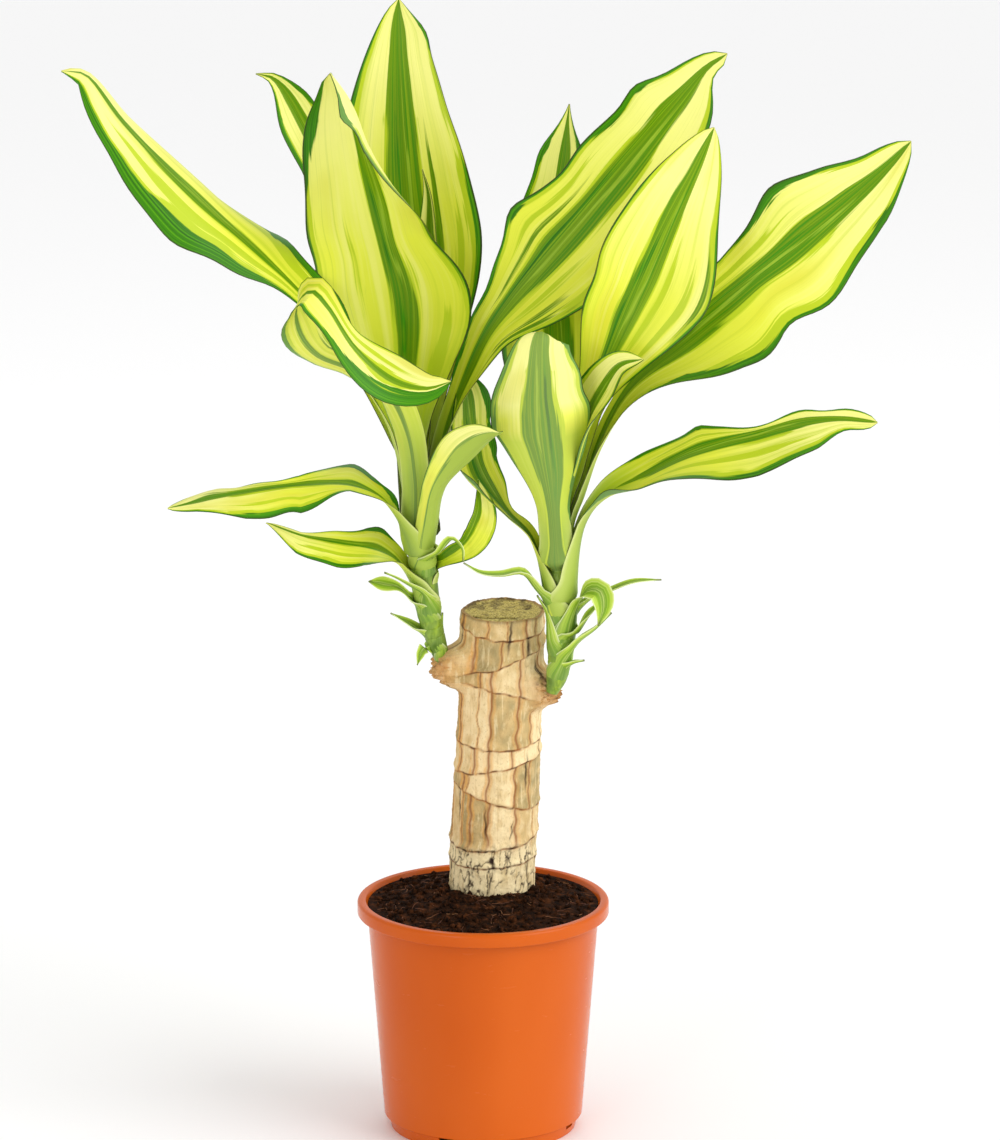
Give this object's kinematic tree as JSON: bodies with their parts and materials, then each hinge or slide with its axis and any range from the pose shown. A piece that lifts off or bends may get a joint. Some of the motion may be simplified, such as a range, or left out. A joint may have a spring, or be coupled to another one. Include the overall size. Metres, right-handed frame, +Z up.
{
  "type": "potted corn plant",
  "caption": "Variegated corn plant: a sawn cane with leafy side shoots, planted in soil in a plain round nursery pot.",
  "frame": {"origin": "centre of the pot's base, on the surface it stands on", "axes": "+Z up along the pot's axis and the cane, +X to the viewer's right, -Y towards the viewer"},
  "size_m": [0.5715, 0.2451, 0.7751],
  "materials": {
    "pot_plastic": "smooth orange injection-moulded plastic",
    "potting_soil": "dark crumbly potting soil with fibres",
    "cane_bark": "dry tan bark with leaf scars and cracks",
    "green_stem": "smooth green stem with pale scale leaves",
    "leaf": "waxy leaf, yellow with dark green stripes and margins"
  },
  "bodies": {
    "root": {"pot": "pot_plastic", "soil": "potting_soil", "cane": "cane_bark", "left_stem": "green_stem", "right_stem": "green_stem", "left_leaf_1": "leaf", "left_leaf_2": "leaf", "left_leaf_3": "leaf", "left_leaf_4": "leaf", "left_leaf_5": "leaf", "left_leaf_6": "leaf", "left_leaf_7": "leaf", "left_leaf_8": "leaf", "left_leaf_9": "leaf", "left_leaf_10": "leaf", "left_leaf_11": "leaf", "left_leaf_12": "leaf", "right_leaf_1": "leaf", "right_leaf_2": "leaf", "right_leaf_3": "leaf", "right_leaf_4": "leaf", "right_leaf_5": "leaf", "right_leaf_6": "leaf", "right_leaf_7": "leaf", "right_leaf_8": "leaf"}
  },
  "joints": []
}
